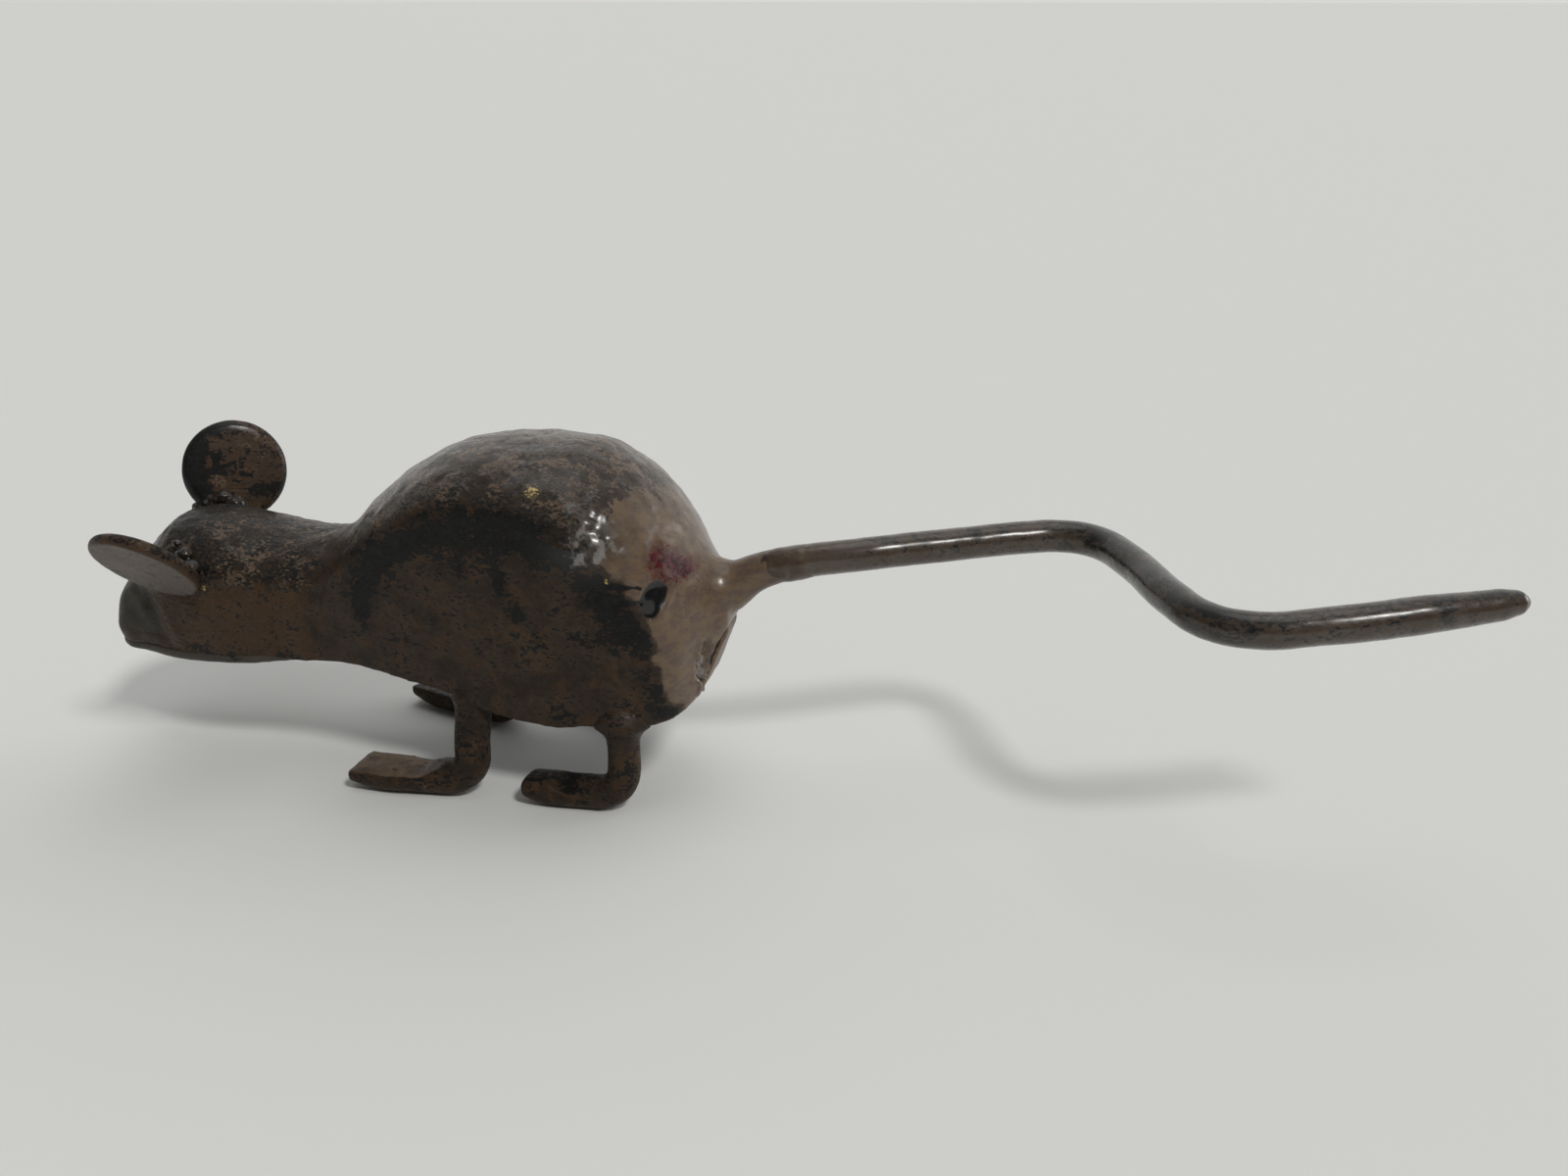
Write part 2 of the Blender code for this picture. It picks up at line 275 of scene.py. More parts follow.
class Wire:
    """A value in a material's node tree. Arithmetic on it adds Math nodes."""

    def __init__(self, tree, socket=None):
        self.tree, self.socket = tree, socket

    def node(self, kind, settings=None, inputs=None, output=0):
        """Any node: its settings first, then its sockets by name or number, given as values or wires."""
        node = self.tree.nodes.new(kind)
        for key, value in (settings or {}).items():
            setattr(node, key, value)
        for key, value in (inputs or {}).items():
            if isinstance(value, Wire):
                self.tree.links.new(value.socket, node.inputs[key])
            else:
                node.inputs[key].default_value = value
        return Wire(self.tree, node.outputs[output])

    def math(self, operation, *others, clamp=False):
        values = dict(enumerate((self, *others)))
        return self.node("ShaderNodeMath", {"operation": operation, "use_clamp": clamp}, values)

    def __add__(self, other):
        return self.math("ADD", other)

    __radd__ = __add__

    def __mul__(self, other):
        return self.math("MULTIPLY", other)

    __rmul__ = __mul__

    def __sub__(self, other):
        return self.math("SUBTRACT", other)

    def __rsub__(self, other):
        return (self * -1.0) + other

    def most(self, other):
        return self.math("MAXIMUM", other)

    def least(self, other):
        return self.math("MINIMUM", other)

    def between(self, low, high):
        """0 below low, 1 above high, and a smooth step from one to the other."""
        settings = {"interpolation_type": "SMOOTHSTEP"}
        return self.node("ShaderNodeMapRange", settings, {0: self, 1: low, 2: high})

    def mix(self, a, b):
        """Colour a where this is 0 and b where it is 1."""
        return self.node("ShaderNodeMix", {"data_type": "RGBA"}, {0: self, 6: a, 7: b}, output=2)

    def noise(self, scale, detail=2.0, roughness=0.5, distortion=0.0):
        """Noise over these coordinates, about 1 lump for each 1 / scale."""
        inputs = {"Vector": self, "Scale": scale, "Detail": detail, "Roughness": roughness}
        inputs["Distortion"] = distortion
        return self.node("ShaderNodeTexNoise", None, inputs)

    def attribute(self, name):
        return self.node("ShaderNodeAttribute", {"attribute_name": name}, output=2)


def new_material(name):
    """A material, its coordinates in millimetres, and its shader."""
    material = bpy.data.materials.new(name)
    material.use_nodes = True
    tree = material.node_tree
    shader = tree.nodes["Principled BSDF"]
    start = Wire(tree)
    place = start.node("ShaderNodeTexCoord", output=3)
    place = start.node("ShaderNodeVectorMath", {"operation": "SCALE"}, {0: place, "Scale": 1 / MM})
    return material, place, shader


def plug(shader, values):
    for key, value in values.items():
        if isinstance(value, Wire):
            value.tree.links.new(value.socket, shader.inputs[key])
        else:
            shader.inputs[key].default_value = value


BLACK = (0.0062, 0.0064, 0.0070, 1)
SOOT = (0.0125, 0.0120, 0.0115, 1)
BROWN = (0.0560, 0.0375, 0.0240, 1)
DARK_BROWN = (0.0270, 0.0190, 0.0135, 1)
GREY_BROWN = (0.0640, 0.0520, 0.0430, 1)
GREY_GREEN = (0.0400, 0.0380, 0.0310, 1)
TAN = (0.1500, 0.1020, 0.0610, 1)
PINK_BROWN = (0.1150, 0.0780, 0.0600, 1)
WARM_BROWN = (0.0760, 0.0410, 0.0190, 1)
# Pale grey for painted highlights: glints on lumps and on the crack's lips.
GLINT_GREY = (0.2600, 0.2500, 0.2350, 1)
RED = (0.0800, 0.0070, 0.0110, 1)
DULL_RED = (0.0700, 0.0150, 0.0150, 1)
DARK_RED = (0.0200, 0.0020, 0.0035, 1)
JET = (0.0030, 0.0030, 0.0035, 1)
BRASS = (0.5000, 0.3800, 0.1500, 1)
ATTRIBUTES = ("wear", "tan", "grey", "vein", "clean", "warm", "flash", "red", "chip", "brass", "shine")


def worn_paint(name, light=BROWN, dark=DARK_BROWN, roughness=0.36):
    """Thick brown paint over an older black coat, with painted glints where a piece asks for them. The
    piece's own "wear" says how much black shows.
    """
    material, place, shader = new_material(name)
    layer = {key: place.attribute(key) for key in ATTRIBUTES}
    brushed = place.node("ShaderNodeMapping", None, {"Vector": place, "Scale": (0.7, 1.0, 1.2)})
    broad = place.noise(0.25, 3.0, 0.55) - 0.5
    patch = brushed.noise(0.85, 6.0, 0.68, 0.35) - 0.5
    fine = brushed.noise(3.2, 4.0, 0.62) - 0.5
    warm = place.noise(0.42, 4.0, 0.6, 0.5) - 0.5
    lines = (brushed.noise(0.62, 5.0, 0.60, 0.8) - 0.5).math("ABSOLUTE")
    veins = (1.0 - lines.between(0.0, 0.045)) * layer["vein"]
    dirty = 1.0 - layer["clean"]

    paint = (broad * 2.2 + patch * 1.8 + 0.5).between(0.1, 0.9).mix(dark, light)
    paint_warmth = (layer["warm"] + warm * 3.0).between(0.1, 0.9) * 0.7
    paint = paint_warmth.mix(paint, WARM_BROWN)
    tan_noise = (warm * 3.6 + patch * 3.6) * dirty * (layer["tan"] * 1.3 + 0.22)
    tan = (layer["tan"] + tan_noise).between(0.30, 0.80)
    paint = tan.mix(paint, (patch * 4.0 + 0.5).between(0.2, 0.8).mix(PINK_BROWN, TAN))
    grey = (layer["grey"] + (broad * 2.0 + patch * 1.5) * dirty).between(0.25, 0.9)
    paint = grey.mix(paint, layer["clean"].mix(GREY_BROWN, GREY_GREEN))

    amount = layer["wear"] + broad * 1.0 + patch * 3.6 + fine * dirty * (layer["vein"] * 1.6 + 2.2)
    bare = amount.between(0.40, 0.64)
    halo = (amount + veins * 0.45).between(0.10, 0.6)
    color = (halo * 0.62).mix(paint, SOOT)
    color = bare.mix(color, (fine * 3.0 + 0.5).between(0.2, 0.8).mix(BLACK, SOOT))
    specks = place.noise(1.7, 2.0, 0.5, 0.2).between(0.66, 0.71) * (dirty * 0.75 + 0.25)
    color = (specks * 0.7).mix(color, BLACK)
    lumps = place.noise(1.15, 2.0, 0.5) - 0.5
    # Painted highlights: pale grey glints on the lumps, with more coat on them.
    flash = (layer["flash"] + lumps * 4.0 * layer["flash"] + fine * 1.2 * layer["flash"]).between(0.60, 1.25)
    color = (flash * 0.75).mix(color, GLINT_GREY)
    near_red = (layer["red"] * 4.0).least(1.0)
    streak = layer["red"] + (patch * 2.0 + fine * 0.8) * near_red
    color = (streak.between(0.15, 0.60) * 0.70).mix(color, DULL_RED)
    strokes = (streak + lines * -5.0 * near_red + near_red * 0.1).between(0.35, 0.7)
    color = strokes.mix(color, (patch * 4.0 + 0.5).between(0.2, 0.8).mix(DARK_RED, RED))
    chip = layer["chip"].between(0.42, 0.56)
    color = chip.mix(color, JET)
    brass = (layer["brass"] + fine * 2.4 * (layer["brass"] * 2.0).least(1.0)).between(0.60, 0.78)
    color = brass.mix(color, BRASS)
    rough = fine * 0.45 + patch * 0.35 + bare * 0.08 + roughness + 0.08 - layer["shine"] * 0.12 - chip * 0.3
    grain_height = bare * -0.6 + fine * 0.55 * dirty + patch * 1.1 * dirty - specks * 0.7 - veins * 0.35
    bump = place.node("ShaderNodeBump", None, {"Strength": 0.8, "Distance": 0.00012, "Height": grain_height})
    coat = layer["shine"] + patch * 0.8 + chip + flash - near_red * 0.6
    plug(shader, {
        "Base Color": color, "Roughness": rough.most(0.1), "Normal": bump,
        "Metallic": brass * 0.7, "Specular IOR Level": 0.14,
        "Coat Weight": coat.math("MULTIPLY", 1.0, clamp=True),
        "Coat Roughness": 0.22,
    })
    return material


# ---------------------------------------------------------------- body

def sag_at(x):
    """How far the belly hangs between the legs."""
    return 0.75 * smoothstep(-29.5, -25.5, x) * smoothstep(-13.5, -18.0, x)


def body_outline(x):
    """The whole section at x: under the belly, up one flank, over the back and down the other."""
    z_low, z_top, z_shoulder, w_shoulder, w_low = row_at(x)
    z_low += 0.2 - sag_at(x) + (PLATE - 0.35) * smoothstep(-47, -53, x)
    half = []
    for i in range(8):
        half.append((w_low * i / 8, z_low))
    for i in range(13):
        t = i / 13
        bulge = math.sin(math.pi * t) * 0.35
        half.append((w_low + (w_shoulder - w_low) * t + bulge, z_low + (z_shoulder - z_low) * t))
    for i in range(20):
        a = 0.5 * math.pi * i / 20
        half.append((w_shoulder * math.cos(a) ** 1.06, z_shoulder + (z_top - z_shoulder) * math.sin(a)))
    other = [(-w, z) for w, z in reversed(half[1:])]
    return [Vector((x, w, z)) for w, z in [*half, (0.0, z_top), *other]]


def body_relief(p, n):
    """Hammer marks, lumps, the muzzle's groove, the crack in the seam and the chip on the left rump."""
    x, y, z = p
    over = z - row_at(x)[2]
    back = smoothstep(-1.0, 1.5, over) * smoothstep(-45, -38, x)
    rump = smoothstep(-8.0, -4.5, x) * smoothstep(34, 28, z)
    head = smoothstep(-42, -47, x)
    depth = 0.10 * grain(p, 5.0) + 0.05 * grain(p, 2.2, 3.1)
    depth += back * (0.11 * grain(p, 1.9, 7.7) + 0.05 * grain(p, 0.9, 1.3))
    depth += head * (0.09 * grain(p, 1.6, 4.2) + 0.09 * grain(p, 0.9, 6.2) * smoothstep(20, 23, z))
    pitted = blob(p, (-13.2, -9.9, 30.5), (3.6, 4.0, 3.1)) * (1 if y < 0 else 0.4)
    depth += pitted * (0.6 * abs(grain(p, 2.2, 9.4)) + 0.12 * grain(p, 1.1, 2.2))
    depth *= 1 - 0.6 * rump
    depth -= 0.45 * smoothstep(-5.0, -3.0, x) * blob((z,), (16.8,), (2.8,))
    # a dent behind the muzzle, with the cheek's edge standing over it
    cheek_x = float(np.interp(z, (13.5, 14.9, 17.1, 18.9, 20.5), (-62.3, -62.5, -62.8, -64.5, -67.0)))
    side = smoothstep(0.3, 0.8, abs(n.y)) * smoothstep(20.5, 18.5, z) * smoothstep(12.6, 14.4, z)
    depth += side * 0.13 * math.exp(-(((x - cheek_x) / 1.0) ** 2))
    depth -= side * 0.42 * math.exp(-(((x - cheek_x + 1.9) / 1.2) ** 2))
    # a crack in the weld low on the rump, its lips thick with paint
    crack, off = crack_at(p)
    depth -= crack * 0.6 * math.exp(-((off / 0.32) ** 2))
    depth += crack * math.exp(-(((abs(off) - 0.75) / 0.42) ** 2)) * (0.16 + 0.5 * grain(p, 0.9, 5.5))
    if y < 0:
        depth += 0.4 * blob(p, SPATTER, (0.5, 1.0, 0.5))
        chip = chip_mask(p)
        depth -= 0.26 * smoothstep(0.3, 0.75, chip)
        depth += 0.12 * smoothstep(0.15, 0.35, chip) * (1 - smoothstep(0.35, 0.5, chip))
        depth += 0.55 * blob(p, (-11.6, -9.8, 11.2), (2.4, 2.0, 1.1))
        depth -= 0.16 * math.exp(-((scratch_distance(p) / 0.2) ** 2))
    return depth


# A drop of weld spatter low on the left flank, with a painted highlight on it.
SPATTER = (-18.0, -9.4, 11.4)
# Scratches from the worn back down to the chip.
SCRATCHES = (
    (Vector((-11.0, 0, 26.5)), Vector((-7.8, 0, 26.1))),
    (Vector((-9.6, 0, 24.8)), Vector((-7.7, 0, 24.7))),
)


def distance_to(p, start, end):
    """How far p lies from the straight line between two places."""
    along = end - start
    t = min(max((Vector(p) - start).dot(along) / along.length_squared, 0.0), 1.0)
    return (Vector(p) - start - along * t).length


def scratch_distance(p):
    """How far p lies from the nearest scratch, seen from the side."""
    return min(distance_to((p[0], 0, p[2]), start, end) for start, end in SCRATCHES)


def crack_at(p):
    """How open the crack low on the rump is at p's height, and how far p lies from it."""
    x, y, z = p
    crack_y = float(np.interp(z, (10.5, 12.1, 14.7, 18.6, 20.1), (-1.5, -2.8, -4.5, -4.4, -4.0)))
    return smoothstep(-8, -5.5, x) * smoothstep(19.5, 17.0, z), y - crack_y + 0.6 * grain((x, 0, z), 1.3)


def chip_mask(p):
    """1 inside the chip in the paint, low on the left rump."""
    lean = (p[2] - 25.0) * 0.05
    reach = ((p[0] + 6.75 - lean) / 1.1) ** 2 + ((p[2] - 24.8) / 1.85) ** 2 + (max(p[1] + 6.0, 0) / 1.0) ** 2
    return math.exp(-0.75 * reach * (1 + 0.35 * grain(p, 1.5, 6.6)))


# The worn band along the ridge of the back: x, z, half width.
BAND = (
    (-38.8, 20.6, 0.7), (-38.2, 23.6, 1.5), (-36.6, 26.2, 1.7), (-33.2, 28.6, 1.0), (-29.6, 30.3, 1.6),
    (-25.4, 31.0, 2.2), (-20.7, 31.1, 2.0), (-16.6, 30.6, 1.8), (-13.8, 29.0, 1.6), (-11.7, 26.0, 1.5),
    (-9.9, 22.9, 1.4), (-8.2, 20.2, 1.3), (-7.4, 17.0, 1.0), (-7.1, 14.6, 0.9), (-6.4, 12.2, 0.8),
)
# Separate worn marks on the flanks: x, z, size along x, size along z, strength.
MARKS = (
    (-22.1, 25.6, 0.8, 1.5, 1.0), (-20.6, 22.5, 1.0, 1.5, 0.75), (-18.4, 20.2, 1.0, 1.2, 0.4),
    (-13.2, 20.2, 2.6, 0.7, 0.6), (-10.2, 20.6, 1.8, 1.6, 0.35), (-16.6, 11.0, 1.6, 0.9, 0.6),
    (-28.6, 26.6, 0.7, 1.2, 0.4), (-26.4, 26.8, 0.6, 1.2, 0.5), (-34.0, 17.6, 4.5, 0.4, 0.35),
    (-12.6, 24.6, 2.0, 0.9, 0.35), (-38.6, 20.0, 1.3, 2.6, 0.4), (-5.4, 11.8, 1.5, 0.8, 0.8),
    (-8.4, 14.4, 1.4, 2.2, 0.3), (-50.0, 16.0, 0.5, 2.0, 0.45), (-56.5, 15.4, 0.8, 0.7, 0.5),
    (-46.5, 17.5, 0.5, 1.4, 0.3), (-30.0, 21.0, 0.5, 0.9, 0.45), (-24.5, 19.0, 0.7, 0.5, 0.4),
)
# Where the rump's fresh paint begins: z and x.
RUMP_EDGE_Z = (11.0, 14.4, 16.6, 20.4, 23.1, 26.3, 28.4, 29.9, 33.0)
RUMP_EDGE_X = (-4.9, -6.0, -6.2, -6.6, -7.6, -9.0, -11.4, -12.0, -11.0)


def band_mask(x, z):
    """1 along the middle of the dark band over the flank, fading out to its sides."""
    best = 0.0
    for (x0, z0, w0), (x1, z1, w1) in zip(BAND, BAND[1:]):
        dx, dz = x1 - x0, z1 - z0
        t = min(max(((x - x0) * dx + (z - z0) * dz) / (dx * dx + dz * dz), 0.0), 1.0)
        d = math.hypot(x - x0 - dx * t, z - z0 - dz * t) / (w0 + (w1 - w0) * t)
        best = max(best, math.exp(-0.55 * d * d))
    return best


def body_paint_values(p):
    """How the paint has aged at a point of the body."""
    x, y, z = p
    over = z - row_at(x)[2]
    left = 1.0 if y < 0 else 0.0
    edge = float(np.interp(z, RUMP_EDGE_Z, RUMP_EDGE_X))
    rump = smoothstep(-0.8, 0.6, x - edge + 0.7 * grain(p, 1.6, 2.0))
    rump *= smoothstep(34.0, 30.0, z + 0.5 * x + 4.0)
    back = smoothstep(0.6, 2.6, over) * smoothstep(-43, -38, x)
    head_top = smoothstep(-42, -46, x) * smoothstep(20.6, 23.0, z)
    wear = 0.95 * band_mask(x, z) * (1 if left else 0.8)
    wear *= 1 - 0.45 * smoothstep(22.5, 18.5, z) * smoothstep(-15, -11, x)
    wear -= 0.55 * blob((x, z), (-10.4, 26.4), (1.3, 0.9)) + 0.3 * blob((x, z), (-9.0, 16.0), (2.0, 2.5))
    wear += sum(much * blob((x, z), (cx, cz), (sx, sz)) for cx, cz, sx, sz, much in MARKS)
    wear += 0.06 * smoothstep(20, 27, z) * (1 - back) * smoothstep(-43, -39, x)
    wear += back * (0.10 - 0.20 * smoothstep(-13.5, -9, x))
    wear += head_top * (0.42 + 0.25 * smoothstep(24, 26.5, z) * smoothstep(-57, -60, x))
    wear += 0.25 * smoothstep(-45, -50, x) * smoothstep(14.6, 13.4, z)
    cheek = smoothstep(-43, -47, x) * smoothstep(-64, -60, x) * smoothstep(14.5, 16.5, z)
    wear -= 0.12 * cheek * (1 - head_top)
    wear = wear * (1 - rump) - 0.75 * rump
    crack, off = crack_at(p)
    wear += 1.9 * crack * math.exp(-((off / 0.38) ** 2))
    if left:
        wear += 1.9 * math.exp(-((scratch_distance(p) / 0.24) ** 2))
    # Painted highlight: pale glints along the crack's lips.
    lip = crack * math.exp(-(((abs(off) - 0.5) / 0.17) ** 2))
    muzzle = smoothstep(-62.5, -65.5, x)
    # The pitted patch on the left of the back: lighter, greyer paint, and pale spots of painted highlight on
    # its lumps.
    pitted = blob(p, (-12.9, -9.9, 30.4), (3.5, 4.0, 3.0)) * left
    late = smoothstep(-15, -8, x) * smoothstep(1.5, 4, over) * (1 - rump)
    return {
        "wear": wear - 0.5 * pitted - 0.25 * muzzle,
        "tan": (
            rump * (0.95 - 0.4 * smoothstep(-1, 4, x)) + 0.7 * late
            + 0.5 * back * (1 - late) + 0.52 * head_top
        ),
        "grey": (
            0.3 * back + 0.85 * muzzle * smoothstep(13.5, 15, z) + 0.18 * head_top + 0.5 * pitted
            + 0.7 * crack * smoothstep(0.7, 1.2, off)
        ),
        "vein": 0.9 * back * (1 - rump) + 1.0 * head_top + 0.6 * smoothstep(-42, -46, x) * (1 - head_top),
        "clean": max(rump, 0.7 * muzzle),
        "warm": 0.8 * smoothstep(-44, -48, x) * (1 - head_top) * (1 - muzzle) + 0.25 * (1 - back),
        # Painted highlights: pale glints on the pitted patch, the crack's lips and the weld spatter.
        "flash": max(pitted, lip, 0.9 * blob(p, SPATTER, (0.9, 1.2, 0.5)) * left),
        "red": left * max(
            1.0 * blob(p, (-5.7, -6.2, 27.2), (1.7, 2.8, 1.6)),
            1.0 * blob(p, (-4.6, -4.6, 26.6), (1.4, 2.0, 0.9)),
            1.0 * blob(p, (-6.7, -7.2, 28.5), (1.2, 2.0, 1.4)),
        ),
        "chip": chip_mask(p) * left,
        "brass": max(
            0.85 * blob(p, (-57.4, -8.0, 21.3), (0.5, 1.4, 0.7)),
            0.72 * blob(p, (-18.7, -9.4, 35.2), (1.3, 1.5, 1.0)),
            0.8 * blob(p, (-11.0, -10.8, 26.9), (0.35, 1.0, 0.5)), 0.45 * lip * blob((z,), (15.6,), (0.8,)),
        ) * left,
        "shine": max(
            pitted, 0.5 * rump * (1 - 0.6 * blob(p, (-5.7, -6.2, 27.2), (1.6, 3, 1.6))),
            crack * math.exp(-((off / 1.3) ** 2)), 0.9 * blob(p, (-0.6, -1.5, 25), (1.6, 3, 1.2)),
            0.65 * back, 0.30 * head_top, 0.12 * muzzle, 0.04,
        ),
    }


# The rump's skin runs out along the tail in a trumpet: x and z of its middle, radius.
TRUMPET = (
    (-4.0, 21.6, 2.4), (-2.4, 22.5, 2.8), (-1.2, 23.1, 2.6), (-0.2, 23.8, 2.3), (0.8, 24.5, 2.04),
    (1.8, 25.03, 1.92), (2.8, 25.46, 1.83), (3.8, 25.8, 1.78), (5.2, 26.16, 1.74), (6.0, 26.3, 1.6),
)


def make_body():
    """One hammered skin over the body and the trumpet round the tail, cut in two along the seam."""
    xs = sorted({*ROW_XS[::8], *ROW_XS[:24:2], *ROW_XS[-60::2]})
    bm = loft([body_outline(x) for x in xs])
    rings = []
    before, after = TRUMPET[:1] + TRUMPET, TRUMPET[1:] + TRUMPET[-1:]
    for (x0, z0, _), (x, z, r), (x1, z1, _) in zip(before, TRUMPET, after):
        up = Vector((z0 - z1, 0, x1 - x0)).normalized()
        turn = [2 * math.pi * i / 48 for i in range(48)]
        rings.append([Vector((x, r * math.cos(a), z)) + up * r * math.sin(a) for a in turn])
    horn = mesh_of(loft(rings), "horn")
    bm.from_mesh(horn)
    bm = remeshed(bm, "body", BODY_GRAIN)
    soften(bm, bm.verts, 3)
    emboss(bm, body_relief)
    for name, side, node in (("body_left", -1, "left_body_shell"), ("body_right", 1, "right_body_shell")):
        half = bm.copy()
        bmesh.ops.bisect_plane(
            half, geom=[*half.verts, *half.edges, *half.faces], dist=0.0001,
            plane_co=(0, 0, 0), plane_no=(0, -side, 0), clear_outer=True,
        )
        bmesh.ops.holes_fill(half, edges=[e for e in half.edges if e.is_boundary], sides=0)
        bmesh.ops.recalc_face_normals(half, faces=half.faces)
        values = [body_paint_values(v.co) for v in half.verts]
        add_piece(name, half, body_paint, [node], values)
    bm.free()


def plain_values(bm, wear, **levels):
    """Attributes for a simpler piece: wear is a function of place and normal, the others that or a number."""
    bm.normal_update()
    values = []
    for vert in bm.verts:
        row = {**dict.fromkeys(ATTRIBUTES, 0.0), "wear": wear(vert.co, vert.normal)}
        for key, level in levels.items():
            row[key] = level(vert.co, vert.normal) if callable(level) else level
        values.append(row)
    return values


def make_belly():
    """The plate under the halves, with a filed edge."""
    outlines = []
    xs = np.linspace(NOSE_X + 0.1, STATIONS[-1][0] - 0.5, 90)
    for x in xs:
        z_low, _, _, _, w_low = row_at(x)
        z_low -= sag_at(x)
        w = w_low + 0.10 - 0.58 * smoothstep(-53, -47, x)
        z_high = z_low + PLATE_HEIGHT
        half = [
            (0, z_low), (w * 0.5, z_low), (w - PLATE_CHAMFER, z_low),
            (w, z_low + PLATE_CHAMFER), (w, z_high), (w * 0.5, z_high),
        ]
        outline = half + [(0, z_high)] + [(-y, z) for y, z in reversed(half[1:])]
        outlines.append([Vector((x, y, z)) for y, z in outline])
    bm = loft(outlines)
    bm = remeshed(bm, "belly", BELLY_GRAIN)
    emboss(bm, lambda p, n: 0.06 * grain(p, 4.0, 2.0) + 0.03 * grain(p, 1.5, 8.0))
    values = plain_values(
        bm, lambda p, n: -0.1 + 0.4 * smoothstep(-50, -44, p.x) - 0.8 * smoothstep(-8, -5, p.x),
        shine=0.2, clean=0.5,
        grey=lambda p, n: 0.8 * smoothstep(-5, -8, p.x), tan=lambda p, n: 0.3 + 0.6 * smoothstep(-8, -5, p.x),
    )
    add_piece("belly", bm, belly_paint, ["belly_plate"], values)


# ---------------------------------------------------------------- legs, tail, ears, welds

def leg_outlines(x, y, lean, radius, length, splay, toe_width, top_height, tilt, slant):
    """Rings down the rod, round the heel and out along the foot."""
    side = math.copysign(1.0, y)
    turn = math.radians(splay) * side
    forward = Vector((-math.cos(turn), math.sin(turn), 0))
    across = Vector((0, 0, 1)).cross(forward).normalized()
    outward = across * (1 if across.y * side > 0 else -1)
    heel = Vector((x, y, 0))
    top = row_at(x)[0] + 0.6
    rings = []
    count = 40

    def ring(centre, along, width, height, square, flat=None, shear=0.0):
        up = across.cross(along).normalized()
        points = []
        for i in range(count):
            a = 2 * math.pi * (i + 0.5) / count
            c, s = math.cos(a), math.sin(a)
            reach = math.copysign(abs(c) ** (1 / square), c) * width
            rise = math.copysign(abs(s) ** (1 / square), s) * height
            point = centre + across * reach + up * rise
            if flat is not None:
                limit = flat - math.tan(math.radians(tilt)) * (point - heel).dot(outward)
                point.z = min(point.z, limit)
            point += forward * shear * (point - centre).dot(outward) / max(width, 0.1)
            point.z = max(point.z, 0.0)
            points.append(point)
        rings.append(points)

    down = Vector((0, 0, -1))
    lean_top = heel - Vector((0, side * lean, 0))
    bend_z = radius + HEEL_BEND
    for i in range(9):
        t = i / 9
        centre = lean_top.lerp(heel, smoothstep(0.25, 1.0, t))
        ring(centre + Vector((0, 0, top + (bend_z - top) * t)), down, radius, radius, 1.0)
    for i in range(10):
        a = 0.5 * math.pi * i / 9
        along = forward * math.sin(a) + down * math.cos(a)
        centre = heel + forward * HEEL_BEND * (1 - math.cos(a))
        centre += Vector((0, 0, radius + HEEL_BEND * (1 - math.sin(a))))
        ring(centre, along, radius + 0.1 * i / 9, radius, 1.0 + 0.15 * i / 9)
    reach = length - radius - 0.55
    steps = 18
    for i in range(1, steps + 1):
        t = i / steps
        width = radius + 0.1 + (toe_width - radius - 0.1) * smoothstep(0.0, 0.6, t)
        lift = 0.8 * max(0.0, (t - 0.7) / 0.3) ** 1.8
        height = (2 * radius * (1 - 0.1 * t) - lift) / 2
        flat = top_height + (2 * radius - top_height) * (1 - smoothstep(-0.05, 0.28, t))
        if tilt > 10:  # the strongly tilted foot is hollowed behind its toe
            flat += 0.45 * smoothstep(0.5, 0.8, t) - 0.5 * blob((t,), (0.4,), (0.2,))
        centre = heel + forward * (HEEL_BEND + (reach - HEEL_BEND) * t) + Vector((0, 0, height + lift))
        ring(centre, forward, width, height, 1.15 + 0.25 * t, flat, slant * smoothstep(0.7, 1.0, t))
    last = rings[-1]
    middle = sum(last, Vector()) / count
    for along, scale in ((0.25, 0.95), (0.45, 0.82), (0.58, 0.6)):
        rings.append([middle + (p - middle) * scale + forward * along for p in last])
    return rings


def make_leg(name, *measures):
    """A bent rod and its beaten foot. The front left foot's top is filed and pale."""
    bm = loft(leg_outlines(*measures))
    bm = remeshed(bm, name, LEG_GRAIN)
    soften(bm, bm.verts, 2)
    seed = len(name) + measures[0]
    emboss(bm, lambda p, n: 0.07 * grain(p, 3.0, seed) + 0.035 * grain(p, 1.2, seed + 1))
    filed = 0.9 if name == "front_left_leg" else 0.0

    def facet(p, n):
        return filed * smoothstep(0.93, 0.985, n.z) * smoothstep(3.2, 2.8, p.z)

    dark_top = -0.5 if filed else 0.42

    def worn(p, n):
        upright = 0.26 * smoothstep(4.0, 7.0, p.z) * filed
        top = smoothstep(0.85, 0.95, n.z) * smoothstep(3.6, 3.1, p.z)
        return 0.12 + upright + 0.22 * blob((p.z,), (4.0,), (2.2,)) + dark_top * top

    def side_tan(p, n):
        return 0.25 * smoothstep(0.2, 0.5, abs(n.y)) * smoothstep(3.0, 1.5, p.z) + 0.7 * facet(p, n)

    values = plain_values(
        bm, worn, grey=lambda p, n: 0.35 * facet(p, n), clean=lambda p, n: facet(p, n) * 0.9,
        shine=lambda p, n: 0.04 + 0.2 * facet(p, n), warm=0.45, tan=side_tan,
    )
    add_piece(name + "_rod", bm, leg_paint, [name], values)


# How far the weld run flares at the top of each leg.
FLARES = {"front_left_leg": 0.3, "front_right_leg": 0.9, "rear_left_leg": 1.35, "rear_right_leg": 1.1}


